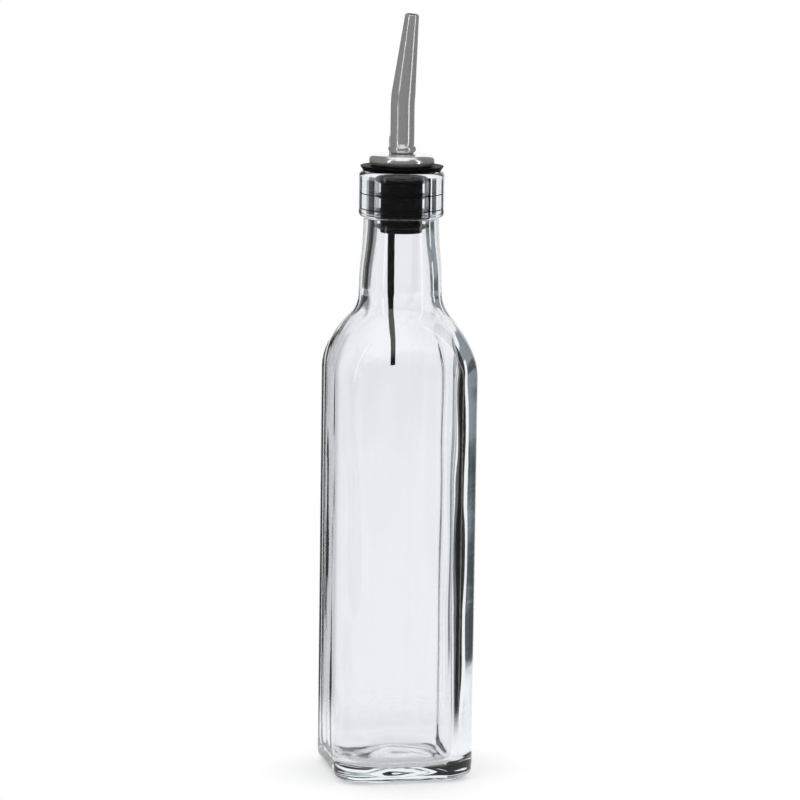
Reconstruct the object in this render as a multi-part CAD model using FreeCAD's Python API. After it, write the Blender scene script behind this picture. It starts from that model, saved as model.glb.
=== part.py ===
"""A square glass oil bottle with a free-flow pourer that lifts out of its neck.

Millimetres and degrees. The origin is at the middle of the base, on the table; +Z is up and -Y is the front.
"""
import FreeCAD, Part
import math
import os

from FreeCAD import Vector

# Glass bottle: square body
body_width = 48.0
body_corner = 10.0
body_height = 138.0
wall = 3.0
inner_corner = 13.0
heel_round = 4.0
inner_heel_round = 4.5
base_thickness = 4.8
foot_width = 3.5
push_up = 2.5
floor_rise = 2.2
floor_margin = 0.4

# Glass bottle: shoulder, neck and bore
shoulder_height = 27.0
shoulder_swell = 0.73
inner_swell = 0.66
corner_fade = 0.75
neck_height = 26.2
neck_wall = 3.55
neck_flare = 1.4
neck_swell = 0.5
bore_radius = 9.25
bore_flare = 1.95

# Glass bottle: ring finish at the mouth
ring_height = 15.6
ring_step = 1.7
ring_round = 1.4
lip_round = 1.8
mouth_round = 1.5

# Stopper
plug_length = 20.8
plug_chamfer = 0.8
fin_count = 4
fin_depth = 2.1
fin_tip = 0.5
fin_root = 1.6
fin_clearance = 0.05
flange_thickness = 1.7
flange_setback = 0.3
flange_undercut = 1.1

# Collar
collar_setback = 3.0
collar_height = 4.2
collar_widest = 1.9
collar_tuck = 1.8
collar_shoulder = 1.5
collar_crown = 0.4
collar_sheet = 0.7

# Pour spout
spout_radius = 4.1
spout_wall = 0.45
shank_step = 0.4
bead_step = 0.65
bead_height = 2.6
bead_widest = 1.5
straight_height = 15.6
bend_radius = 30.0
lean = 8.0
cone_length = 27.5
tip_radius = 2.35
pour_azimuth = -60.0

# Air vent beside the spout
vent_radius = 1.0
vent_wall = 0.35
vent_gap = 0.05
vent_stub = 5.4
pipe_depth = 10.0
tail_drop = 46.0
tail_turn = 3.0

# Clearance between pieces of the pourer that are pushed together
push_fit = 0.02

# Half the turn of each of the eight arcs that make a circle out of a square
circle_spread = 22.5

# Where the shoulder's sections lie along its ogee: its swelling arc ends at 1 and its hollow one at 2
shoulder_stations = (0, 0.25, 0.5, 0.75, 1, 1.5, 2)

# The largest part of a corner's radius that a rounded lower edge takes
round_limit = 0.9

# Heights that follow from the sizes above
neck_root_z = body_height + shoulder_height
ring_z = neck_root_z + neck_height
mouth_z = ring_z + ring_height
flange_z = mouth_z + flange_thickness
collar_top_z = flange_z + collar_height
plug_end_z = mouth_z - plug_length
pipe_end_z = mouth_z - pipe_depth

# Radii that follow from the sizes above
neck_radius = bore_radius + neck_wall
neck_root_radius = neck_radius + neck_flare
ring_radius = neck_radius + ring_step
bore_root_radius = bore_radius + bore_flare
fin_radius = bore_radius - fin_clearance
plug_radius = fin_radius - fin_depth
flange_radius = ring_radius - flange_setback
collar_radius = flange_radius - collar_setback
shank_radius = spout_radius - shank_step
bead_radius = spout_radius + bead_step
vent_offset = spout_radius + vent_radius + vent_gap

ORIGIN = Vector(0, 0, 0)
UP = Vector(0, 0, 1)


def at_height(z):
    return Vector(0, 0, z)


def lines(points):
    """Straight edges through (radius, height) points."""
    corners = [Vector(radius, 0, z) for radius, z in points]
    return [Part.LineSegment(a, b).toShape() for a, b in zip(corners, corners[1:])]


def arc(points):
    """An arc through three (radius, height) points."""
    return Part.Arc(*(Vector(radius, 0, z) for radius, z in points)).toShape()


def quarter_round(centre, radius, first):
    """A quarter of a circle about a (radius, height) point, from the angle first on."""
    turns = [math.radians(first + step) for step in (0, 45, 90)]
    return arc([(centre[0] + radius * math.cos(t), centre[1] + radius * math.sin(t)) for t in turns])


def swelling(widest, end):
    """An arc between two (radius, height) points that stands upright at the widest one."""
    depth, rise = widest[0] - end[0], end[1] - widest[1]
    radius = (depth ** 2 + rise ** 2) / (2 * depth)
    half_turn = math.atan2(rise, radius - depth) / 2
    middle = widest[0] - radius * (1 - math.cos(half_turn)), widest[1] + radius * math.sin(half_turn)
    return arc([widest, middle, end])


def revolve(edges):
    """The solid that a closed outline in the XZ plane sweeps in one turn about Z."""
    return Part.Face(Part.Wire(Part.__sortEdges__(edges))).revolve(ORIGIN, UP, 360)


def section(half, corner, spread, z):
    """A closed wire that is anything between a square and a circle.

    half is the distance from the axis to the middle of a side, and corner the radius at the corners.
    Each side is an arc of spread degrees to both sides of its middle, or straight where spread is 0.
    """
    angle = math.radians(spread)
    reach = math.cos(angle) - math.sin(angle)
    side_radius = (half - corner * reach) / (1 - reach) if spread else 0
    corner_centre = (side_radius - corner) * math.sin(angle) if spread else half - corner

    def on_side(turn):
        return Vector(half - side_radius * (1 - math.cos(turn)), side_radius * math.sin(turn), z)

    def on_corner(turn):
        return Vector(corner_centre + corner * math.cos(turn), corner_centre + corner * math.sin(turn), z)

    start, end = on_corner(angle), on_corner(math.pi / 2 - angle)
    if spread:
        side = Part.Arc(on_side(-angle), on_side(0), start)
    else:
        side = Part.LineSegment(Vector(half, -corner_centre, z), start)
    bend = Part.Arc(start, on_corner(math.pi / 4), end)
    edges = []
    for quarter in range(4):
        for curve in (side, bend):
            edge = curve.toShape()
            edge.rotate(ORIGIN, UP, 90 * quarter)
            edges.append(edge)
    return Part.Wire(edges)


def ogee_point(low, high, swell, share):
    """A (radius, height) point on the ogee that rises from low and draws in to high, upright at both ends.

    The ogee is a swelling arc and a hollow one, and swell is the first one's part of it.
    share runs from 0 to 1 along the first arc, and on to 2 along the second.
    """
    inset, height = low[0] - high[0], high[1] - low[1]
    steepest = 2 * math.atan2(inset, height)
    both_radii = height / math.sin(steepest)
    if share <= 1:
        radius, turn = swell * both_radii, share * steepest
        return low[0] - radius * (1 - math.cos(turn)), low[1] + radius * math.sin(turn)
    radius, turn = (1 - swell) * both_radii, (2 - share) * steepest
    return high[0] + radius * (1 - math.cos(turn)), high[1] - radius * math.sin(turn)


def ogee(low, high, swell):
    """The two arcs of an ogee."""
    turns = (0, 0.5, 1), (1, 1.5, 2)
    return [arc([ogee_point(low, high, swell, share) for share in shares]) for shares in turns]


def shoulder(half, corner, top_radius, swell):
    """The solid of an ogee shoulder, lofted from the top of the square body to a circle at the neck's root."""
    low, high = (half, body_height), (top_radius, neck_root_z)
    squareness = 1 - corner / half
    wires = []
    for share in shoulder_stations:
        side, z = ogee_point(low, high, swell, share)
        square_part = (side - top_radius) / (half - top_radius)
        corner_here = side * (1 - squareness * square_part ** corner_fade)
        wires.append(section(side, corner_here, circle_spread * (1 - square_part), z))
    return Part.makeLoft(wires, True)


def square_block(half, corner, low, foot_round):
    """A square block up to the shoulder, with round corners and a rounded lower edge."""
    block = Part.Face(section(half, corner, 0, low)).extrude(at_height(body_height - low))
    middle = (low + body_height) / 2
    foot = [edge for edge in block.Edges if max(v.Z for v in edge.Vertexes) < middle]
    return block.makeFillet(min(foot_round, round_limit * corner), foot)


def cap(radius, rise, z):
    """A solid cap of a sphere that stands on the level z."""
    sphere_radius = (radius ** 2 + rise ** 2) / (2 * rise)
    ball = Part.makeSphere(sphere_radius, at_height(z + rise - sphere_radius))
    return ball.common(Part.makeCylinder(sphere_radius, rise, at_height(z)))


def neck_and_ring():
    """The round neck, drawn in a little on its way up, and the ring finish with its rounded edges."""
    low, high = (neck_root_radius, neck_root_z), (neck_radius, ring_z)
    edges = ogee(low, high, neck_swell)
    foot, lip = ring_radius - ring_round, ring_radius - lip_round
    edges += lines([high, (foot, ring_z)])
    edges.append(quarter_round((foot, ring_z + ring_round), ring_round, -90))
    edges += lines([(ring_radius, ring_z + ring_round), (ring_radius, mouth_z - lip_round)])
    edges.append(quarter_round((lip, mouth_z - lip_round), lip_round, 0))
    edges += lines([(lip, mouth_z), (0, mouth_z), (0, neck_root_z), low])
    return revolve(edges)


def bore():
    """The round bore, which follows the neck up to the ring and is straight from there to its rounded mouth."""
    low, high = (bore_root_radius, neck_root_z), (bore_radius, ring_z)
    wide = bore_radius + mouth_round
    edges = ogee(low, high, neck_swell) + lines([high, (bore_radius, mouth_z - mouth_round)])
    edges.append(quarter_round((wide, mouth_z - mouth_round), mouth_round, 90))
    edges += lines([(wide, mouth_z), (0, mouth_z), (0, neck_root_z), low])
    return revolve(edges)


def glass_bottle():
    half = body_width / 2
    body = square_block(half, body_corner, 0, heel_round)
    outside = body.fuse([shoulder(half, body_corner, neck_root_radius, shoulder_swell), neck_and_ring()])

    inner_half = half - wall
    floor = cap(inner_half - inner_heel_round - floor_margin, floor_rise, base_thickness)
    cavity = square_block(inner_half, inner_corner, base_thickness, inner_heel_round).cut(floor)
    inner_shoulder = shoulder(inner_half, inner_corner, bore_root_radius, inner_swell)
    inside = cavity.fuse([inner_shoulder, bore()])

    dish = cap(half - heel_round - foot_width, push_up, 0)
    return outside.cut([inside, dish]).removeSplitter()


def vent_rod(radius, low, high):
    """An upright rod where the air vent is, behind the spout and opposite the way it pours."""
    back = math.radians(pour_azimuth + 180)
    foot = Vector(vent_offset * math.cos(back), vent_offset * math.sin(back), low)
    return Part.makeCylinder(radius, high - low, foot)


def pourer_holes(low, high):
    """What the spout's shank and the vent take out of a piece that they are pushed through."""
    shank_hole = Part.makeCylinder(shank_radius + push_fit, high - low, at_height(low))
    return [shank_hole, vent_rod(vent_radius + push_fit, low, high)]


def stopper():
    points = [(0, plug_end_z), (plug_radius - plug_chamfer, plug_end_z)]
    points.append((plug_radius, plug_end_z + plug_chamfer))
    pitch = plug_length / fin_count
    for fin in range(fin_count):
        top = plug_end_z + (fin + 0.5) * pitch
        points += [(plug_radius, top - fin_root), (fin_radius, top - fin_tip)]
        points += [(fin_radius, top), (plug_radius, top)]
    points += [(plug_radius, mouth_z), (flange_radius - flange_undercut, mouth_z), (flange_radius, flange_z)]
    points += [(0, flange_z), (0, plug_end_z)]
    return revolve(lines(points)).cut(pourer_holes(plug_end_z, flange_z))


def collar_form(inset, top):
    """The collar's domed form, or the hollow inside it, which is smaller by inset all round."""
    foot = collar_radius - collar_tuck - inset, flange_z
    widest = collar_radius - inset, flange_z + collar_widest
    edge = collar_radius - collar_shoulder - inset, top - collar_crown
    crown = arc([edge, (edge[0] / 2, top - collar_crown / 4), (0, top)])
    inner_edges = lines([(0, top), (0, flange_z), foot])
    return revolve([swelling(widest, foot), swelling(widest, edge), crown] + inner_edges)


def collar():
    hollow = collar_form(collar_sheet, collar_top_z - collar_sheet)
    return collar_form(0, collar_top_z).cut([hollow] + pourer_holes(flange_z, collar_top_z))


def spout_run(radius, end_radius, start_z, length):
    """The spout's round run, which leans to +X: straight from start_z, bent, then a cone of this length."""
    bend_z = collar_top_z + straight_height
    straight = Part.makeCylinder(radius, bend_z - start_z, at_height(start_z))
    disc = Part.Face(Part.Wire(Part.makeCircle(radius, at_height(bend_z), UP)))
    bend = disc.revolve(Vector(bend_radius, 0, bend_z), Vector(0, 1, 0), lean)
    turn = math.radians(lean)
    elbow = Vector(bend_radius * (1 - math.cos(turn)), 0, bend_z + bend_radius * math.sin(turn))
    cone = Part.makeCone(radius, end_radius, length, elbow, Vector(math.sin(turn), 0, math.cos(turn)))
    return straight.fuse([bend, cone])


def bead_and_shank():
    """The rolled bead that sits on the collar, and the shank below it."""
    widest = bead_radius, collar_top_z + bead_widest
    foot, top = (shank_radius, collar_top_z), (spout_radius, collar_top_z + bead_height)
    shank = lines([top, (0, top[1]), (0, plug_end_z), (shank_radius, plug_end_z), foot])
    return revolve([swelling(widest, foot), swelling(widest, top)] + shank)


def pour_spout():
    spout = spout_run(spout_radius, tip_radius, collar_top_z, cone_length).fuse(bead_and_shank())
    bore_start = collar_top_z + bead_widest
    run_bore = spout_run(spout_radius - spout_wall, tip_radius - spout_wall, bore_start, cone_length)
    shank_bore = Part.makeCylinder(shank_radius - spout_wall, bore_start - plug_end_z, at_height(plug_end_z))
    spout = spout.cut([run_bore, shank_bore])
    spout.rotate(ORIGIN, UP, pour_azimuth)
    notch = vent_rod(vent_radius + vent_gap, collar_top_z, collar_top_z + bead_height)
    return spout.cut(notch).removeSplitter()


def vent_pipe():
    top = collar_top_z + vent_stub
    return vent_rod(vent_radius, pipe_end_z, top).cut(vent_rod(vent_radius - vent_wall, pipe_end_z, top))


def tail_run(radius):
    """The tail's round run, bent towards +X: straight in the stopper, then drooping on one long arc."""
    straight = Part.makeCylinder(radius, pipe_end_z - plug_end_z, at_height(plug_end_z))
    swing = tail_drop / math.radians(tail_turn)
    disc = Part.Face(Part.Wire(Part.makeCircle(radius, at_height(plug_end_z), UP)))
    return straight.fuse(disc.revolve(Vector(swing, 0, plug_end_z), Vector(0, -1, 0), tail_turn))


def vent_tail():
    tail = tail_run(vent_radius).cut(tail_run(vent_radius - vent_wall))
    tail.translate(Vector(-vent_offset, 0, 0))
    tail.rotate(ORIGIN, UP, pour_azimuth)
    return tail.removeSplitter()


os.makedirs("parts", exist_ok=True)
for piece in (glass_bottle, stopper, collar, pour_spout, vent_pipe, vent_tail):
    shape = piece()
    shape.exportStep(f"parts/{piece.__name__}.step")
    print(f"{piece.__name__}: {len(shape.Solids)} solid, valid {shape.isValid()}, {shape.Volume:.1f} mm3")
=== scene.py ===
import math

import bpy
from mathutils import Matrix, Vector


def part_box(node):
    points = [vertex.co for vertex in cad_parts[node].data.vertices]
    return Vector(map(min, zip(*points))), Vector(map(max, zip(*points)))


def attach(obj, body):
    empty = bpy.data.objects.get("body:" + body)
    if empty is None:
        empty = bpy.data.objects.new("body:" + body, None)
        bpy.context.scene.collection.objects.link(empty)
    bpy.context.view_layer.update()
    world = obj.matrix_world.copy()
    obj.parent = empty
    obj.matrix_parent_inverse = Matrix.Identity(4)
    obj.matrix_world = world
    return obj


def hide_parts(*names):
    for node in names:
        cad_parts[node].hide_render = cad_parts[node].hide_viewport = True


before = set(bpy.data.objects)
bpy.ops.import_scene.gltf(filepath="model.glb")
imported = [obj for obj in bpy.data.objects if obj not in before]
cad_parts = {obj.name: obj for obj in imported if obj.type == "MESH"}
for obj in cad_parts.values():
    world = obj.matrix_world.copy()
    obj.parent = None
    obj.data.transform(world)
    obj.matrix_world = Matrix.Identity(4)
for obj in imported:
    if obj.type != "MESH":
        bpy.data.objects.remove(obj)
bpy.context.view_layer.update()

# Glass bottle: one blown piece of clear soda-lime glass, square below and round at the neck.
# The mould makes the outside even. Air alone shapes the inside, so the inner wall is a little uneven.
bottle_low, bottle_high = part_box("glass_bottle")
body_half = bottle_high.x
mouth_z = bottle_high.z
body_corner = 0.010
body_height = 0.138
wall = 0.003
inner_corner = 0.013
heel_round = 0.004
inner_heel_round = 0.0045
base_thickness = 0.0048
foot_width = 0.0035
foot_edge_round = 0.0012
push_up = 0.0025
floor_rise = 0.0022
shoulder_height = 0.027
shoulder_swell = 0.73
inner_swell = 0.66
corner_fade = 0.75
neck_height = 0.0262
neck_flare = 0.0014
neck_swell = 0.5
neck_cove = 0.0005
neck_wall = 0.00355
bore_radius = 0.00925
neck_radius = bore_radius + neck_wall
ring_step = 0.0017
ring_radius = neck_radius + ring_step
ring_round = 0.0014
lip_round = 0.0018
mouth_round = 0.0015
neck_root_z = body_height + shoulder_height
ring_z = neck_root_z + neck_height
wave_depth = 0.00035
wave_width = 0.009
wave_height = 0.050

CIRCLE = math.radians(22.5)
SQUARE = math.radians(0.05)


def add(tree, kind, inputs=(), **settings):
    """A new node with its settings, and with a value or a link on each input, by place or by name."""
    node = tree.nodes.new(kind)
    for name, value in settings.items():
        setattr(node, name, value)
    for key, value in inputs.items() if isinstance(inputs, dict) else enumerate(inputs):
        if isinstance(value, bpy.types.NodeSocket):
            tree.links.new(value, node.inputs[key])
        else:
            node.inputs[key].default_value = value
    return node


def calc(tree, operation, *values):
    """The result of one sum in a node tree."""
    return add(tree, "ShaderNodeMath", values, operation=operation).outputs[0]


def ring_stack_tree():
    """The node tree that skins a stack of rings, each anything between a square and a circle.

    The rings are the points of a mesh. A ring's half width, corner radius, side spread, tilt about Y and
    wave depth are attributes of its point. Side arcs turn by the spread to both sides of their middle.
    """
    tree = bpy.data.node_groups.new("Ring stack", "GeometryNodeTree")
    inputs = {
        "Rings": "NodeSocketGeometry", "Side steps": "NodeSocketInt", "Corner steps": "NodeSocketInt",
        "Turn": "NodeSocketFloat", "Wave width": "NodeSocketFloat", "Wave height": "NodeSocketFloat",
        "Material": "NodeSocketMaterial",
    }
    for name, kind in inputs.items():
        tree.interface.new_socket(name, in_out="INPUT", socket_type=kind)
    tree.interface.new_socket("Skin", in_out="OUTPUT", socket_type="NodeSocketGeometry")
    given = tree.nodes.new("NodeGroupInput").outputs

    count = add(tree, "GeometryNodeAttributeDomainSize", [given["Rings"]]).outputs["Point Count"]
    quarter = calc(tree, "ADD", given["Side steps"], given["Corner steps"])
    columns = calc(tree, "MULTIPLY_ADD", quarter, 4.0, 1.0)
    grid = add(tree, "GeometryNodeMeshGrid", {"Vertices X": columns, "Vertices Y": count}).outputs["Mesh"]
    index = add(tree, "GeometryNodeInputIndex").outputs[0]
    column = calc(tree, "FLOOR", calc(tree, "DIVIDE", index, count))
    ring = calc(tree, "SUBTRACT", index, calc(tree, "MULTIPLY", column, count))
    quadrant = calc(tree, "FLOOR", calc(tree, "DIVIDE", column, quarter))
    step = calc(tree, "SUBTRACT", column, calc(tree, "MULTIPLY", quadrant, quarter))

    def of_ring(value, kind):
        inputs = {"Geometry": given["Rings"], "Value": value, "Index": ring}
        return add(tree, "GeometryNodeSampleIndex", inputs, data_type=kind).outputs[0]

    def attribute(name):
        node = add(tree, "GeometryNodeInputNamedAttribute", {"Name": name}, data_type="FLOAT")
        return of_ring(node.outputs["Attribute"], "FLOAT")

    half, corner, spread = attribute("half"), attribute("corner"), attribute("spread")
    cosine, sine = calc(tree, "COSINE", spread), calc(tree, "SINE", spread)
    reach = calc(tree, "SUBTRACT", cosine, sine)
    flat_part = calc(tree, "SUBTRACT", half, calc(tree, "MULTIPLY", corner, reach))
    side_radius = calc(tree, "DIVIDE", flat_part, calc(tree, "SUBTRACT", 1.0, reach))

    share = calc(tree, "MINIMUM", calc(tree, "DIVIDE", step, given["Side steps"]), 1.0)
    side_turn = calc(tree, "MULTIPLY", spread, calc(tree, "MULTIPLY_ADD", share, 2.0, -1.0))
    half_sine = calc(tree, "SINE", calc(tree, "MULTIPLY", side_turn, 0.5))
    side_width = calc(tree, "MULTIPLY", side_radius, 2.0)
    sagitta = calc(tree, "MULTIPLY", side_width, calc(tree, "POWER", half_sine, 2.0))
    side_x = calc(tree, "SUBTRACT", half, sagitta)
    side_y = calc(tree, "MULTIPLY", side_radius, calc(tree, "SINE", side_turn))

    past_side = calc(tree, "MAXIMUM", calc(tree, "SUBTRACT", step, given["Side steps"]), 0.0)
    bend = calc(tree, "MULTIPLY_ADD", spread, -2.0, math.pi / 2)
    corner_turn = calc(tree, "MULTIPLY", calc(tree, "DIVIDE", past_side, given["Corner steps"]), bend)
    corner_turn = calc(tree, "ADD", spread, corner_turn)
    bend_x = calc(tree, "SUBTRACT", calc(tree, "COSINE", corner_turn), cosine)
    bend_y = calc(tree, "SUBTRACT", calc(tree, "SINE", corner_turn), sine)
    x = calc(tree, "MULTIPLY_ADD", corner, bend_x, side_x)
    y = calc(tree, "MULTIPLY_ADD", corner, bend_y, side_y)

    def turned(vector, axis, angle):
        node = add(tree, "ShaderNodeVectorRotate", {"Vector": vector, "Angle": angle}, rotation_type=axis)
        return node.outputs[0]

    place = add(tree, "ShaderNodeCombineXYZ", [x, y, 0.0]).outputs[0]
    place = turned(place, "Z_AXIS", calc(tree, "MULTIPLY", quadrant, math.pi / 2))
    place = turned(place, "Y_AXIS", attribute("tilt"))
    centre = of_ring(add(tree, "GeometryNodeInputPosition").outputs[0], "FLOAT_VECTOR")
    place = add(tree, "ShaderNodeVectorMath", [place, centre], operation="ADD").outputs[0]
    place = turned(place, "Z_AXIS", given["Turn"])

    stored = {"Geometry": grid, "Name": "wave", "Value": attribute("wave")}
    marked = add(tree, "GeometryNodeStoreNamedAttribute", stored, data_type="FLOAT").outputs[0]
    skin = add(tree, "GeometryNodeSetPosition", {"Geometry": marked, "Position": place}).outputs[0]
    skin = add(tree, "GeometryNodeMergeByDistance", {"Geometry": skin, "Distance": 1e-6}).outputs[0]

    position = add(tree, "GeometryNodeInputPosition").outputs[0]
    sizes = [given["Wave width"], given["Wave width"], given["Wave height"]]
    wave_size = add(tree, "ShaderNodeCombineXYZ", sizes).outputs[0]
    wave_place = add(tree, "ShaderNodeVectorMath", [position, wave_size], operation="DIVIDE").outputs[0]
    noise = add(tree, "ShaderNodeTexNoise", {"Vector": wave_place, "Scale": 1.0, "Detail": 1.0}).outputs[0]
    depth = add(tree, "GeometryNodeInputNamedAttribute", {"Name": "wave"}, data_type="FLOAT")
    swing = calc(tree, "MULTIPLY_ADD", noise, 2.0, -1.0)
    push = calc(tree, "MULTIPLY", swing, depth.outputs["Attribute"])
    normal = add(tree, "GeometryNodeInputNormal").outputs[0]
    offset = add(tree, "ShaderNodeVectorMath", {0: normal, "Scale": push}, operation="SCALE").outputs[0]
    skin = add(tree, "GeometryNodeSetPosition", {"Geometry": skin, "Offset": offset}).outputs[0]
    skin = add(tree, "GeometryNodeRemoveAttribute", {"Geometry": skin, "Name": "wave"}).outputs[0]
    skin = add(tree, "GeometryNodeSetShadeSmooth", {"Geometry": skin}).outputs[0]
    skin = add(tree, "GeometryNodeRealizeInstances", [skin]).outputs[0]
    skin = add(tree, "GeometryNodeSetMaterial", {"Geometry": skin, "Material": given["Material"]}).outputs[0]
    add(tree, "NodeGroupOutput", [skin])
    return tree


def ring(half, z, corner=None, spread=CIRCLE, wave=0.0, x=0.0, tilt=0.0):
    """One ring of a stack: a circle, unless a corner radius and a spread of its sides are given."""
    return {"half": half, "corner": half if corner is None else corner, "spread": spread,
            "wave": wave, "tilt": tilt, "centre": (x, 0.0, z)}


def with_tree(name, mesh, tree, values):
    """A finished object: the mesh after a node tree with these values on its named inputs."""
    piece = bpy.data.objects.new(name, mesh)
    bpy.context.scene.collection.objects.link(piece)
    modifier = piece.modifiers.new(tree.name, "NODES")
    modifier.node_group = tree
    for item in tree.interface.items_tree:
        if item.in_out == "INPUT" and item.name in values:
            modifier[item.identifier] = values[item.name]
    evaluated = piece.evaluated_get(bpy.context.evaluated_depsgraph_get())
    skin = bpy.data.meshes.new_from_object(evaluated)
    piece.modifiers.clear()
    piece.data = skin
    skin.name = name
    bpy.data.meshes.remove(mesh)
    return piece


def skinned(name, rings, material, side_steps, corner_steps, turn=0.0, wave_width=1.0, wave_height=1.0):
    """A piece skinned over its rings, which run up the outside and, on a hollow piece, down the inside."""
    mesh = bpy.data.meshes.new(name + "_rings")
    links = [(place, place + 1) for place in range(len(rings) - 1)]
    mesh.from_pydata([r["centre"] for r in rings], links, [])
    for key in ("half", "corner", "spread", "tilt", "wave"):
        layer = mesh.attributes.new(key, "FLOAT", "POINT")
        layer.data.foreach_set("value", [r[key] for r in rings])
    values = {"Side steps": side_steps, "Corner steps": corner_steps, "Turn": turn, "Wave width": wave_width,
              "Wave height": wave_height, "Material": material}
    return with_tree(name, mesh, RING_STACK, values)


RING_STACK = ring_stack_tree()


def spaced(start, end, steps):
    """Even values from start to end, both included."""
    return [start + (end - start) * step / steps for step in range(steps + 1)]


def arc(centre, radius, start, end, steps):
    """(radius, height) points on an arc about a centre, between two angles in degrees."""
    turns = [math.radians(angle) for angle in spaced(start, end, steps)]
    return [(centre[0] + radius * math.cos(turn), centre[1] + radius * math.sin(turn)) for turn in turns]


def ogee_point(low, high, swell, share):
    """A (radius, height) point on an ogee, upright at both ends: share 0 to 1 swells and 1 to 2 is hollow."""
    inset, height = low[0] - high[0], high[1] - low[1]
    steepest = 2 * math.atan2(inset, height)
    both_radii = height / math.sin(steepest)
    if share <= 1:
        radius, turn = swell * both_radii, share * steepest
        return low[0] - radius * (1 - math.cos(turn)), low[1] + radius * math.sin(turn)
    radius, turn = (1 - swell) * both_radii, (2 - share) * steepest
    return high[0] + radius * (1 - math.cos(turn)), high[1] - radius * math.sin(turn)


def shoulder(half, corner, top_radius, swell, steps, wave=0.0):
    """Rings of the shoulder, from the square body up to a circle."""
    low, high = (half, body_height), (top_radius, neck_root_z)
    squareness = 1 - corner / half
    rings = []
    for share in spaced(0, 2, steps):
        side, z = ogee_point(low, high, swell, share)
        square_part = max((side - top_radius) / (half - top_radius), 0)
        corner_here = side * (1 - squareness * square_part ** corner_fade)
        spread = SQUARE + (CIRCLE - SQUARE) * (1 - square_part)
        rings.append(ring(side, z, corner_here, spread, wave))
    return rings


def cap(radius, rise, z, steps):
    """(radius, height) points on a shallow dome, from its middle out to its edge."""
    sphere = (radius ** 2 + rise ** 2) / (2 * rise)
    edge = math.degrees(math.asin(radius / sphere))
    return arc((0, z + rise - sphere), sphere, 90, 90 - edge, steps)


def square_rings(points, edge_half, edge_corner, wave=0.0):
    """Square rings at (half, height) points, each the edge ring drawn in by the same margin all round."""
    return [ring(half, z, edge_corner - edge_half + half, SQUARE, wave) for half, z in points]


def bottle_rings():
    """The bottle's rings, from the push-up up the outside, and down the inside to its floor."""
    heel_half, dish_radius = body_half - heel_round, body_half - heel_round - foot_width
    outside = [ring(radius, z) for radius, z in cap(dish_radius - foot_edge_round, push_up, 0, 10)]
    outside += [ring(dish_radius + foot_edge_round, 0.0)]
    outside += square_rings(arc((heel_half, heel_round), heel_round, -90, 0, 10), body_half, body_corner)
    side_points = [(body_half, z) for z in spaced(heel_round, body_height, 40)[1:-1]]
    outside += square_rings(side_points, body_half, body_corner)
    neck_root = neck_radius + neck_flare
    outside += shoulder(body_half, body_corner, neck_root, shoulder_swell, 44)
    neck_low, neck_high = (neck_root, neck_root_z), (neck_radius, ring_z - neck_cove)
    profile = [ogee_point(neck_low, neck_high, neck_swell, share) for share in spaced(0, 2, 24)[1:]]
    profile += arc((neck_radius + neck_cove, ring_z - neck_cove), neck_cove, 180, 90, 5)[1:]
    profile += arc((ring_radius - ring_round, ring_z + ring_round), ring_round, -90, 0, 8)
    profile += [(ring_radius, z) for z in spaced(ring_z + ring_round, mouth_z - lip_round, 10)[1:-1]]
    profile += arc((ring_radius - lip_round, mouth_z - lip_round), lip_round, 0, 90, 9)
    profile += arc((bore_radius + mouth_round, mouth_z - mouth_round), mouth_round, 90, 180, 8)
    profile += [(bore_radius, z) for z in spaced(mouth_z - mouth_round, ring_z, 10)[1:-1]]
    inner_low, inner_high = (neck_root - wall, neck_root_z), (bore_radius, ring_z)
    profile += [ogee_point(inner_low, inner_high, neck_swell, share) for share in spaced(2, 0, 24)[:-1]]
    outside += [ring(radius, z) for radius, z in profile]

    inner_half = body_half - wall
    inside = shoulder(inner_half, inner_corner, neck_root - wall, inner_swell, 44, wave_depth)[::-1]
    floor_z, heel_z = base_thickness, base_thickness + inner_heel_round
    wall_points = [(inner_half, z) for z in spaced(body_height, heel_z, 80)[1:-1]]
    heel_points = arc((inner_half - inner_heel_round, heel_z), inner_heel_round, 0, -90, 10)
    inside += square_rings(wall_points + heel_points, inner_half, inner_corner, wave_depth)
    dome = cap(inner_half - inner_heel_round - foot_edge_round, floor_rise, floor_z, 12)[::-1]
    inside += [ring(radius, z, wave=wave_depth) for radius, z in dome]
    return outside + inside


def new_material(name, **values):
    """A material with plain values on its shader, and its node tree, shader and object coordinates."""
    material = bpy.data.materials.new(name)
    material.use_nodes = True
    tree = material.node_tree
    shader = tree.nodes["Principled BSDF"]
    for key, value in values.items():
        shader.inputs[key.replace("_", " ")].default_value = value
    coordinates = add(tree, "ShaderNodeTexCoord").outputs["Object"]
    return material, tree, shader, coordinates


def grain_group():
    """The shader group of an uneven finish: noise, as a height and as a value in a range."""
    tree = bpy.data.node_groups.new("Surface grain", "ShaderNodeTree")
    tree.interface.new_socket("Vector", in_out="INPUT", socket_type="NodeSocketVector")
    for name in ("Scale", "Low", "High"):
        tree.interface.new_socket(name, in_out="INPUT", socket_type="NodeSocketFloat")
    for name in ("Value", "Height"):
        tree.interface.new_socket(name, in_out="OUTPUT", socket_type="NodeSocketFloat")
    given = tree.nodes.new("NodeGroupInput").outputs
    pattern = {"Vector": given["Vector"], "Scale": given["Scale"], "Detail": 3.0}
    noise = add(tree, "ShaderNodeTexNoise", pattern).outputs[0]
    usual_low, usual_high = 0.3, 0.7
    spread = {"Value": noise, "From Min": usual_low, "From Max": usual_high,
              "To Min": given["Low"], "To Max": given["High"]}
    value = add(tree, "ShaderNodeMapRange", spread).outputs[0]
    add(tree, "NodeGroupOutput", [value, noise])
    return tree


SURFACE_GRAIN = grain_group()


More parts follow.
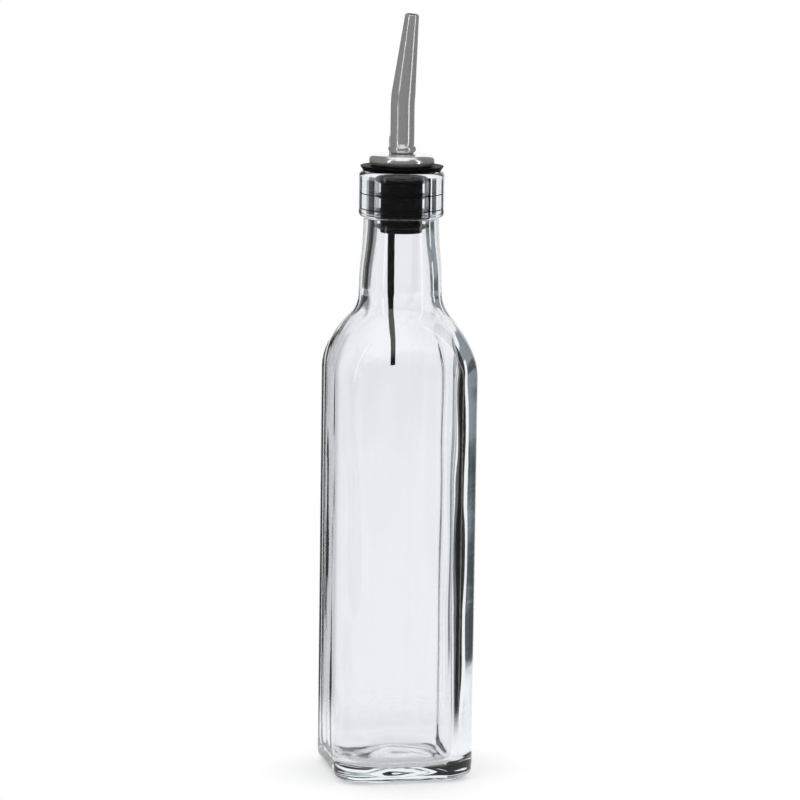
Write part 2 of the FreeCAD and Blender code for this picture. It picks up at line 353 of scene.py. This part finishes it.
def grain(tree, vector, scale, low, high, stretch=(1.0, 1.0, 1.0)):
    """The grain's value and height, with its pattern packed closer along an axis that stretch enlarges."""
    placed = add(tree, "ShaderNodeMapping", {"Vector": vector, "Scale": stretch}).outputs[0]
    inputs = {"Vector": placed, "Scale": scale, "Low": low, "High": high}
    node = add(tree, "ShaderNodeGroup", inputs, node_tree=SURFACE_GRAIN)
    return node.outputs["Value"], node.outputs["Height"]


def roughen(tree, shader, height, distance):
    """Raises the surface by a height map, by up to a distance in metres."""
    bump = add(tree, "ShaderNodeBump", {"Strength": 1.0, "Distance": distance, "Height": height}).outputs[0]
    tree.links.new(bump, shader.inputs["Normal"])


def clear_glass():
    """Clear glass, faintly marked by handling, and a little green where it is thick."""
    glass_tint = (0.940, 0.947, 0.968, 1.0)
    thick_tint = (0.80, 0.93, 0.90, 1.0)
    material, tree, shader, coordinates = new_material("clear_glass", Base_Color=glass_tint, IOR=1.52,
                                                       Transmission_Weight=1.0)
    handled, ripple = grain(tree, coordinates, 90.0, 0.0, 0.012)
    tree.links.new(handled, shader.inputs["Roughness"])
    roughen(tree, shader, ripple, 0.00002)
    depth = add(tree, "ShaderNodeVolumeAbsorption", {"Color": thick_tint, "Density": 9.0})
    tree.links.new(depth.outputs[0], tree.nodes["Material Output"].inputs["Volume"])
    return material


glass_bottle = skinned("glass_bottle_skin", bottle_rings(), clear_glass(), 14, 18,
                       wave_width=wave_width, wave_height=wave_height)
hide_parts("glass_bottle")
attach(glass_bottle, "bottle")

# Stopper: one moulding of soft black rubber that seals the mouth, bored for the spout and the air vent.
# Four thin fins round its plug press against the bore of the neck, and its flange sits on the lip.
plug_length = 0.0208
plug_radius = 0.0071
plug_chamfer = 0.0003
fin_count = 4
fin_tip = 0.00035
fin_root = 0.0016
fin_bite = 0.00003
fin_foot = 0.0003
flange_thickness = 0.0017
flange_setback = 0.0003
flange_radius = ring_radius - flange_setback
flange_undercut = 0.0011
shank_radius = 0.0037
plug_end_z = mouth_z - plug_length
flange_z = mouth_z + flange_thickness


def softened(corners, steps=5):
    """(radius, height) points of a closed outline. Each corner says how far back its rounding starts."""
    points = []
    for place, (radius, z, back) in enumerate(corners):
        here = Vector((radius, z))
        if not back:
            points.append(here)
            continue
        before = Vector(corners[place - 1][:2])
        after = Vector(corners[(place + 1) % len(corners)][:2])
        start = here + (before - here).normalized() * back
        end = here + (after - here).normalized() * back
        for share in spaced(0, 1, steps):
            points.append(start.lerp(here, share).lerp(here.lerp(end, share), share))
    return points


def turned_rings(points):
    """Round rings of a closed outline, which ends where it began."""
    rings = [ring(radius, z) for radius, z in points]
    return rings + rings[:1]


def black_rubber():
    """Soft black rubber with the fine texture of its mould."""
    material, tree, shader, coordinates = new_material("black_rubber", Base_Color=(0.002, 0.002, 0.002, 1.0),
                                                       Specular_IOR_Level=0.05)
    sheen, height = grain(tree, coordinates, 900.0, 0.38, 0.55)
    tree.links.new(sheen, shader.inputs["Roughness"])
    roughen(tree, shader, height, 0.00003)
    return material


def fin_row_tree():
    """The node tree that repeats one fin up the plug."""
    tree = bpy.data.node_groups.new("Fin row", "GeometryNodeTree")
    inputs = {"Fin": "NodeSocketGeometry", "Count": "NodeSocketInt", "First height": "NodeSocketFloat",
              "Pitch": "NodeSocketFloat", "Material": "NodeSocketMaterial"}
    for name, kind in inputs.items():
        tree.interface.new_socket(name, in_out="INPUT", socket_type=kind)
    tree.interface.new_socket("Fins", in_out="OUTPUT", socket_type="NodeSocketGeometry")
    given = tree.nodes.new("NodeGroupInput").outputs
    first = add(tree, "ShaderNodeCombineXYZ", {"Z": given["First height"]}).outputs[0]
    step = add(tree, "ShaderNodeCombineXYZ", {"Z": given["Pitch"]}).outputs[0]
    line = {"Count": given["Count"], "Start Location": first, "Offset": step}
    places = add(tree, "GeometryNodeMeshLine", line).outputs[0]
    fins = add(tree, "GeometryNodeInstanceOnPoints", {"Points": places, "Instance": given["Fin"]}).outputs[0]
    fins = add(tree, "GeometryNodeRealizeInstances", [fins]).outputs[0]
    fins = add(tree, "GeometryNodeSetMaterial", {"Geometry": fins, "Material": given["Material"]}).outputs[0]
    add(tree, "NodeGroupOutput", [fins])
    return tree


def fin_row(name, radius, count, first_z, pitch):
    """A row of like fins, each a thin ring with a tapered root, sunk a little into the plug."""
    outline = softened([
        (plug_radius - fin_foot, -fin_root, 0),
        (plug_radius, -fin_root, 0),
        (radius, -fin_tip, 0.0001),
        (radius, 0.0, 0.0001),
        (plug_radius - fin_foot, 0.0, 0),
    ])
    one_fin = skinned(name, turned_rings(outline), rubber, 12, 12)
    fin_mesh = one_fin.data
    bpy.data.objects.remove(one_fin)
    values = {"Count": count, "First height": first_z, "Pitch": pitch, "Material": rubber}
    return with_tree(name, fin_mesh, FIN_ROW, values)


rubber = black_rubber()
plug_outline = softened([
    (shank_radius, plug_end_z, 0),
    (plug_radius - plug_chamfer, plug_end_z, 0.0001),
    (plug_radius, plug_end_z + plug_chamfer, 0.0001),
    (plug_radius, mouth_z, 0.0003),
    (flange_radius - flange_undercut, mouth_z, 0.0002),
    (flange_radius, flange_z, 0.0003),
    (shank_radius, flange_z, 0),
])
stopper = skinned("stopper_skin", turned_rings(plug_outline), rubber, 12, 12)
FIN_ROW = fin_row_tree()
pitch = plug_length / fin_count
first_fin_z = plug_end_z + pitch / 2
tight_fins = fin_row("stopper_tight_fins", bore_radius + fin_bite, 2, first_fin_z + pitch, pitch)
loose_fins = fin_row("stopper_loose_fins", bore_radius - fin_bite, 2, first_fin_z, 3 * pitch)
for piece in (stopper, tight_fins, loose_fins):
    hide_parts("stopper")
    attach(piece, "pourer")

# Collar: a dome pressed from bright steel sheet and polished on a wheel, which leaves fine turned lines.
# It sits on the stopper's flange, and the spout's bead holds it down.
collar_setback = 0.003
collar_radius = flange_radius - collar_setback
collar_height = 0.0042
collar_widest = 0.0019
collar_tuck = 0.0018
collar_shoulder = 0.0015
collar_crown = 0.0004
collar_sheet = 0.0007
collar_edge_round = 0.00025
collar_top_z = flange_z + collar_height


def swelling(widest, end, steps):
    """(radius, height) points on an arc from its widest point, where it stands upright, to its end."""
    depth, rise = widest[0] - end[0], end[1] - widest[1]
    radius = (depth ** 2 + rise ** 2) / (2 * depth)
    turn = math.degrees(math.atan2(rise, radius - depth))
    return arc((widest[0] - radius, widest[1]), radius, 0, turn, steps)


def collar_side(inset, top):
    """The dome's outline from its foot up to the hole in its middle, or that of the hollow inside it."""
    foot = collar_radius - collar_tuck - inset, flange_z
    widest = collar_radius - inset, flange_z + collar_widest
    edge = collar_radius - collar_shoulder - inset, top - collar_crown
    outline = swelling(widest, foot, 8)[::-1] + swelling(widest, edge, 8)[1:-1]
    corners = [(radius, z, 0) for radius, z in outline] + [(*edge, collar_edge_round)]
    for radius in spaced(edge[0], shank_radius, 8)[1:]:
        corners.append((radius, top - collar_crown * (radius / edge[0]) ** 2, 0))
    return corners


def axis_distance(tree, coordinates):
    """The distance from the bottle's axis, and the height."""
    x, y, z = add(tree, "ShaderNodeSeparateXYZ", [coordinates]).outputs
    return calc(tree, "SQRT", calc(tree, "MULTIPLY_ADD", x, x, calc(tree, "MULTIPLY", y, y))), z


def polished_steel():
    """Bright steel with turned polishing lines, which run round the axis."""
    material, tree, shader, coordinates = new_material("polished_steel", Base_Color=(0.92, 0.90, 0.89, 1.0),
                                                       Metallic=0.85)
    distance, height = axis_distance(tree, coordinates)
    across = add(tree, "ShaderNodeCombineXYZ", [distance, 0.0, height]).outputs[0]
    polish, lines = grain(tree, across, 2500.0, 0.10, 0.24)
    tree.links.new(polish, shader.inputs["Roughness"])
    roughen(tree, shader, lines, 0.000004)
    return material


hollow = collar_side(collar_sheet, collar_top_z - collar_sheet)
collar_outline = softened(collar_side(0.0, collar_top_z) + hollow[::-1])
collar = skinned("collar_skin", turned_rings(collar_outline), polished_steel(), 12, 12)
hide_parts("collar")
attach(collar, "pourer")

# Pour spout: a drawn tube of satin steel, swaged to a cone and bent a little the way it pours.
# A bead rolled into its foot sits on the collar, and the shank below is pushed through the stopper.
spout_radius = 0.0041
spout_wall = 0.00045
bead_step = 0.00065
bead_radius = spout_radius + bead_step
bead_height = 0.0026
bead_widest = 0.0015
straight_height = 0.0156
bend_radius = 0.030
lean = math.radians(8)
cone_length = 0.0275
tip_radius = 0.00235
pour_turn = math.radians(-60)
bend_end = straight_height + bend_radius * lean
spout_length = bend_end + cone_length


def spout_ring(radius, distance):
    """A ring square to the spout's middle line, at a distance along it from the collar's top."""
    turn = min(max((distance - straight_height) / bend_radius, 0.0), lean)
    past = max(distance - bend_end, 0.0)
    x = bend_radius * (1 - math.cos(turn)) + past * math.sin(turn)
    z = min(distance, straight_height) + bend_radius * math.sin(turn) + past * math.cos(turn)
    return ring(radius, collar_top_z + z, x=x, tilt=turn)


def spout_outline():
    """(radius, distance) points up the spout's outside, over its rim and down its bore."""
    shank_end = plug_end_z - collar_top_z
    outline = [(shank_radius, distance) for distance in spaced(shank_end, 0.0, 6)[:-1]]
    widest = bead_radius, bead_widest
    outline += swelling(widest, (shank_radius, 0.0), 8)[::-1]
    outline += swelling(widest, (spout_radius, bead_height), 8)[1:]
    taper = (tip_radius - spout_radius) / cone_length
    climb = spaced(bead_height, straight_height, 8)[1:] + spaced(straight_height, bend_end, 8)[1:]
    cone = spaced(bend_end, spout_length - spout_wall / 2, 16)[1:]
    run = [(spout_radius, distance) for distance in climb]
    run += [(spout_radius + taper * (distance - bend_end), distance) for distance in cone]
    rim = arc((tip_radius - spout_wall / 2, spout_length - spout_wall / 2), spout_wall / 2, 0, 180, 8)[1:-1]
    bore = [(radius - spout_wall, distance) for radius, distance in run[::-1]]
    shank_bore = [(shank_radius - spout_wall, distance) for distance in spaced(bead_widest, shank_end, 6)]
    return outline + run + rim + bore + shank_bore + outline[:1]


def satin_steel():
    """Drawn steel with fine lines along its length."""
    material, tree, shader, coordinates = new_material("satin_steel", Base_Color=(0.72, 0.71, 0.72, 1.0),
                                                       Metallic=0.75)
    satin, lines = grain(tree, coordinates, 2200.0, 0.14, 0.22, (1.0, 1.0, 0.02))
    tree.links.new(satin, shader.inputs["Roughness"])
    roughen(tree, shader, lines, 0.0000015)
    return material


steel = satin_steel()
spout_rings = [spout_ring(radius, distance) for radius, distance in spout_outline()]
pour_spout = skinned("pour_spout_skin", spout_rings, steel, 12, 12, pour_turn)
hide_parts("pour_spout")
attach(pour_spout, "pourer")

# Vent pipe: a thin drawn steel tube that lets air in behind the spout while it pours.
# It is pushed through the collar and the stopper, and stands a little above the collar.
vent_radius = 0.001
vent_wall = 0.00035
vent_gap = 0.00005
vent_offset = spout_radius + vent_radius + vent_gap
vent_stub = 0.0054
pipe_depth = 0.010
pipe_end_z = mouth_z - pipe_depth
pipe_top_z = collar_top_z + vent_stub
pipe_outline = softened([
    (vent_radius, pipe_end_z, 0.0001),
    (vent_radius, pipe_top_z, 0.00015),
    (vent_radius - vent_wall, pipe_top_z, 0.00012),
    (vent_radius - vent_wall, pipe_end_z, 0.0001),
])
pipe_rings = [ring(radius, z, x=-vent_offset) for radius, z in pipe_outline]
vent_pipe = skinned("vent_pipe_skin", pipe_rings + pipe_rings[:1], steel, 6, 6, pour_turn)
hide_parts("vent_pipe")
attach(vent_pipe, "pourer")

# Vent tail: an extruded tube of matt black plastic on the lower end of the vent pipe.
# It hangs into the bottle with the slight droop and unevenness that soft tube keeps from its coil.
tail_drop = 0.046
tail_turn = math.radians(3)
tail_steps = 60
tail_wave = 0.00008
tail_wave_width = 0.004
tail_wave_height = 0.006
tail_top_radius = 0.00126
tail_end_radius = 0.00118


def tail_ring(radius, z):
    """A ring square to the tail, which is straight in the stopper and bends below it on one long arc."""
    swing = tail_drop / tail_turn
    turn = max(plug_end_z - z, 0.0) / swing
    x = swing * (1 - math.cos(turn)) - vent_offset
    height = max(z, plug_end_z) - swing * math.sin(turn)
    return ring(radius, height, wave=tail_wave, x=x, tilt=-turn)


def black_plastic():
    """Matt black plastic with faint lines along the tube."""
    material, tree, shader, coordinates = new_material("black_plastic", Base_Color=(0.006, 0.006, 0.008, 1.0),
                                                       Specular_IOR_Level=0.2)
    matt, lines = grain(tree, coordinates, 1800.0, 0.42, 0.6, (1.0, 1.0, 0.05))
    tree.links.new(matt, shader.inputs["Roughness"])
    roughen(tree, shader, lines, 0.00002)
    return material


tail_run = spaced(plug_end_z - tail_drop, pipe_end_z, tail_steps)
tail_radii = spaced(tail_end_radius, tail_top_radius, tail_steps)
tail_rings = [tail_ring(radius, z) for radius, z in zip(tail_radii, tail_run)]
tail_rings += [tail_ring(vent_radius - vent_wall, z) for z in tail_run[::-1]]
vent_tail = skinned("vent_tail_skin", tail_rings + tail_rings[:1], black_plastic(), 5, 5, pour_turn,
                    tail_wave_width, tail_wave_height)
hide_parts("vent_tail")
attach(vent_tail, "pourer")

# Floor: a matt white table top that the bottle stands on, which shows only a soft shadow.
# It is solid near the bottle and fades out round it into the white surround.
# It glows faintly, so that its white is full, and for the glass a little more under the bottle.
floor_radius = 4.0
floor_solid = 0.07
floor_fade_end = 0.14
floor_drop = 0.0002
floor_sides = 128
glow_full, glow_end = 0.03, 0.09
glow_under, glow_around = 0.32, 0.20
glow_for_camera = 0.32


def eased(tree, value, start, end, low=0.0, high=1.0):
    """A value that climbs smoothly from low at the start to high at the end."""
    inputs = {"Value": value, "From Min": start, "From Max": end, "To Min": low, "To Max": high}
    return add(tree, "ShaderNodeMapRange", inputs, interpolation_type="SMOOTHSTEP").outputs[0]


def white_floor():
    """Matt white that fades out with the distance from the bottle's axis."""
    material, tree, shader, coordinates = new_material("floor", Base_Color=(0.8, 0.8, 0.8, 1.0),
                                                       Roughness=0.9, Emission_Color=(1, 1, 1, 1))
    distance, _ = axis_distance(tree, coordinates)
    seen = add(tree, "ShaderNodeLightPath").outputs["Is Camera Ray"]
    glow = eased(tree, distance, glow_end, glow_full, glow_around, glow_under)
    strength = calc(tree, "MULTIPLY_ADD", seen, calc(tree, "SUBTRACT", glow_for_camera, glow), glow)
    tree.links.new(strength, shader.inputs["Emission Strength"])
    tree.links.new(eased(tree, distance, floor_fade_end, floor_solid), shader.inputs["Alpha"])
    return material


floor_mesh = bpy.data.meshes.new("floor")
floor_edge = [(x, y, -floor_drop) for x, y in arc((0, 0), floor_radius, 0, 360, floor_sides)[:-1]]
floor_mesh.from_pydata(floor_edge, [], [tuple(range(floor_sides))])
floor_mesh.materials.append(white_floor())
floor = bpy.data.objects.new("floor", floor_mesh)
bpy.context.scene.collection.objects.link(floor)

# Surround: an even white light, with dark flags to both sides, as on a product table, that only glass shows.
# Metal and gloss show a dim room with a white sweep behind the bottle, light above and two strip lights.
# Azimuths are in degrees from straight behind the bottle, with plus to the camera's right.
camera_azimuth = math.radians(11.93)
world = bpy.data.worlds.new("studio")
bpy.context.scene.world = world
world.use_nodes = True
tree = world.node_tree
direction = add(tree, "ShaderNodeTexCoord").outputs["Generated"]
view_turn = {"Vector": direction, "Angle": camera_azimuth}
from_camera = add(tree, "ShaderNodeVectorRotate", view_turn, rotation_type="Z_AXIS").outputs[0]
right, back, up = add(tree, "ShaderNodeSeparateXYZ", [from_camera]).outputs
azimuth = calc(tree, "DEGREES", calc(tree, "ARCTAN2", right, back))
elevation = calc(tree, "DEGREES", calc(tree, "ARCSINE", up))


def between(value, low, high, soft):
    """A mask that is 1 between two values, with soft edges."""
    rise = eased(tree, value, low - soft, low + soft)
    return calc(tree, "MULTIPLY", rise, eased(tree, value, high + soft, high - soft))


def mixed(factor, first, second):
    """One colour or the other, by a factor."""
    node = add(tree, "ShaderNodeMix", data_type="RGBA")
    for socket, value in zip([s for s in node.inputs if s.enabled], (factor, first, second)):
        if isinstance(value, bpy.types.NodeSocket):
            tree.links.new(value, socket)
        else:
            socket.default_value = value
    return next(s for s in node.outputs if s.enabled)


def grey(level, blue=0.0):
    """A grey of a level, or a slightly blue one."""
    return (level, level, level + blue, 1.0)


def painted(colour, patches):
    """A colour with patches: two azimuths, two elevations, how soft the edges are, and a colour each."""
    for left, right, low, high, soft, paint in patches:
        across, upright = between(azimuth, left, right, soft), between(elevation, low, high, soft)
        colour = mixed(calc(tree, "MULTIPLY", across, upright), colour, paint)
    return colour


through_glass = painted(grey(1.0), [
    # Right flag: a blue-grey sheet, darker low down and in a bar at the height of the neck
    (24, 59, -12.4, 12, 1.0, (0.24, 0.28, 0.31, 1.0)),
    (24, 52, -12.2, -9.9, 0.6, (0.055, 0.07, 0.075, 1.0)),
    (24, 59, -7.5, -3.2, 0.8, grey(0.07)),
    # A white gap beside it, and a black edge that goes over into grey
    (52.5, 59.3, -16, 2, 0.5, grey(1.0)),
    (59.5, 76, -16, 45, 0.6, grey(0.12, 0.02)),
    (59.5, 72, -16, 45, 0.6, grey(0.005)),
    # Left flag: grey at the body's height, black at the neck's, with a grey edge inwards
    (-70, -36, -16, -7.5, 1.5, grey(0.20)),
    (-70, -36, -7.5, 12, 1.5, grey(0.03)),
    (-36, -22, -6.5, 12, 1.5, grey(0.22)),
    # The dark room on the camera's side
    (100, 181, -9, 30, 3, grey(0.05)),
    (-181, -100, -9, 30, 3, grey(0.05)),
])
in_metal = painted(grey(0.10), [
    # The room's darker right, and the white sweep behind the bottle
    (70, 150, -90, 60, 15, grey(0.06)),
    (-19, 30, -90, 35, 3, grey(1.0)),
    # Light above, which comes lower on the camera's side
    (-180, 180, 62, 91, 6, grey(1.0)),
    (150, 181, 32, 91, 4, grey(1.0)),
    (-181, -150, 32, 91, 4, grey(1.0)),
    # Two strip lights
    (115, 121, -30, 60, 0.8, grey(2.5)),
    (-136, -130, -4.9, 60, 0.8, grey(2.5)),
])
# Refraction also counts as glossy, so the transmission test comes last.
path = add(tree, "ShaderNodeLightPath").outputs
colour = mixed(path["Is Glossy Ray"], grey(1.0), in_metal)
colour = mixed(path["Is Transmission Ray"], colour, through_glass)
tree.links.new(colour, tree.nodes["Background"].inputs["Color"])

# Camera: a long lens, a little to the left of the front face and above the bottle's top, tilted down.
# Its place, angles and lens come from a fit of the square body to the photograph.
camera_distance = 1.445
camera_height = 0.3497
camera_pan = math.radians(0.0158)
camera_pitch = math.radians(8.708)
camera_roll = math.radians(0.773)
focal_pixels = 4294
image_pixels = 800
camera = bpy.data.objects.new("camera", bpy.data.cameras.new("camera"))
bpy.context.scene.collection.objects.link(camera)
camera.data.sensor_width = 36
camera.data.lens = camera.data.sensor_width * focal_pixels / image_pixels
camera.data.clip_end = 100
camera_x = -camera_distance * math.sin(camera_azimuth)
camera_y = -camera_distance * math.cos(camera_azimuth)
place = Vector((camera_x, camera_y, camera_height))
aim = Matrix.Rotation(-camera_azimuth - camera_pan, 4, "Z")
aim @= Matrix.Rotation(math.pi / 2 - camera_pitch, 4, "X") @ Matrix.Rotation(camera_roll, 4, "Z")
camera.matrix_world = Matrix.Translation(place) @ aim
bpy.context.scene.camera = camera

bpy.context.scene.view_settings.view_transform = "Standard"
